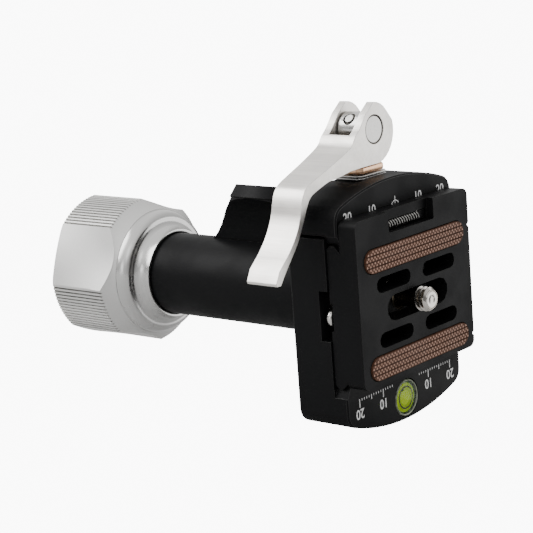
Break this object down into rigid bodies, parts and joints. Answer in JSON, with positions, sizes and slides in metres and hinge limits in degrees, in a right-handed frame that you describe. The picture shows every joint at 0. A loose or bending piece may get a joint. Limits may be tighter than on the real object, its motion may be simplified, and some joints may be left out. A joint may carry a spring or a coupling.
{
  "type": "monopod head",
  "caption": "Monopod tilt head: threaded base on a horizontal barrel, tension knob at one end, lever clamp with a quick-release plate at the other.",
  "frame": {"origin": "centre of the base boss's mounting face, the ring that a monopod's top plate meets", "axes": "+Z out of the base's threaded hole, away from the head; +X along the barrel from the tension knob to the clamp; the clamp is stored tilted 13 degrees about X, as pictured"},
  "size_m": [0.1185, 0.0736, 0.0832],
  "materials": {
    "black_anodised": "black satin anodised aluminium",
    "satin_aluminium": "satin bead-blasted and brushed",
    "brushed_steel": "plain stainless steel",
    "copper_bronze": "copper-coloured bronze, flat faced",
    "bronze_bush": "sintered bronze",
    "acetal_white": "white acetal",
    "brown_rubber": "brown rubber with a dotted face",
    "clear_acrylic": "clear acrylic",
    "green_liquid": "yellow-green level liquid",
    "black_oxide": "black oxide on steel"
  },
  "bodies": {
    "head": {"housing": "black_anodised", "base_insert": "brushed_steel", "base_reducer": "brushed_steel", "front_bush": "bronze_bush", "rear_bush": "bronze_bush", "friction_washer": "acetal_white"},
    "clamp": {"clamp_body": "black_anodised", "tilt_shaft": "brushed_steel", "drive_pin_left": "brushed_steel", "drive_pin_right": "brushed_steel", "clamp_bolt": "black_oxide", "thrust_washer": "acetal_white", "disc_spring_front": "brushed_steel", "disc_spring_rear": "brushed_steel", "end_washer": "brushed_steel", "end_screw": "black_oxide", "guide_pin_left": "brushed_steel", "guide_pin_right": "brushed_steel", "jaw_spring_left": "brushed_steel", "jaw_spring_right": "brushed_steel", "pull_rod": "brushed_steel", "pin_grub_screw": "brushed_steel", "anchor_nut": "brushed_steel", "level_vial": "clear_acrylic", "level_liquid": "green_liquid"},
    "knob": {"tension_knob": "satin_aluminium", "knob_nut": "brushed_steel", "knob_cap": "satin_aluminium"},
    "jaw": {"movable_jaw": "black_anodised", "lower_shim": "brushed_steel", "upper_shim": "brushed_steel", "cam_saddle": "copper_bronze"},
    "lever": {"cam_lever": "brushed_steel", "lever_pin": "brushed_steel"},
    "plate": {"quick_release_plate": "black_anodised", "lower_pad": "brown_rubber", "upper_pad": "brown_rubber", "stop_screw_left": "brushed_steel", "stop_screw_right": "brushed_steel", "catch_spring": "brushed_steel"},
    "screw_carriage": {"screw_washer": "black_oxide"},
    "camera_screw": {"camera_screw": "brushed_steel", "fold_ring": "brushed_steel"},
    "catch": {"catch_slider": "black_anodised"}
  },
  "joints": [
    {"name": "clamp_tilt", "type": "hinge", "parent": "head", "child": "clamp", "pos_m": [0, 0, -0.0265], "axis": [1, 0, 0], "continuous": true},
    {"name": "tension_knob_turn", "type": "hinge", "parent": "clamp", "child": "knob", "pos_m": [-0.05, 0, -0.0265], "axis": [1, 0, 0], "range_deg": [0, 90]},
    {"name": "lever_swing", "type": "hinge", "parent": "clamp", "child": "lever", "pos_m": [0.0304, -0.00989, 0.01632], "axis": [1, 0, 0], "range_deg": [-100, 0]},
    {"name": "jaw_travel", "type": "slide", "parent": "clamp", "child": "jaw", "axis": [0, -0.225, 0.9744], "range_m": [0, 0.001], "deforming": ["jaw_spring_left", "jaw_spring_right"]},
    {"name": "plate_slide", "type": "slide", "parent": "clamp", "child": "plate", "axis": [0, 0.9744, 0.225], "range_m": [-0.0135, 0.0135]},
    {"name": "screw_slide", "type": "slide", "parent": "plate", "child": "screw_carriage", "axis": [0, 0.9744, 0.225], "range_m": [-0.0095, 0.0085]},
    {"name": "camera_screw_turn", "type": "hinge", "parent": "screw_carriage", "child": "camera_screw", "pos_m": [0.0465, 0.00038, -0.0259], "axis": [1, 0, 0], "continuous": true},
    {"name": "catch_travel", "type": "slide", "parent": "plate", "child": "catch", "axis": [0, -0.9744, -0.225], "range_m": [0, 0.003], "stiffness_N_per_m": 400, "springref_m": -0.001, "deforming": ["catch_spring"]}
  ],
  "couplings": [
    {"joint": "jaw_travel", "follows": "lever_swing", "m_per_rad": -0.00057296}
  ]
}
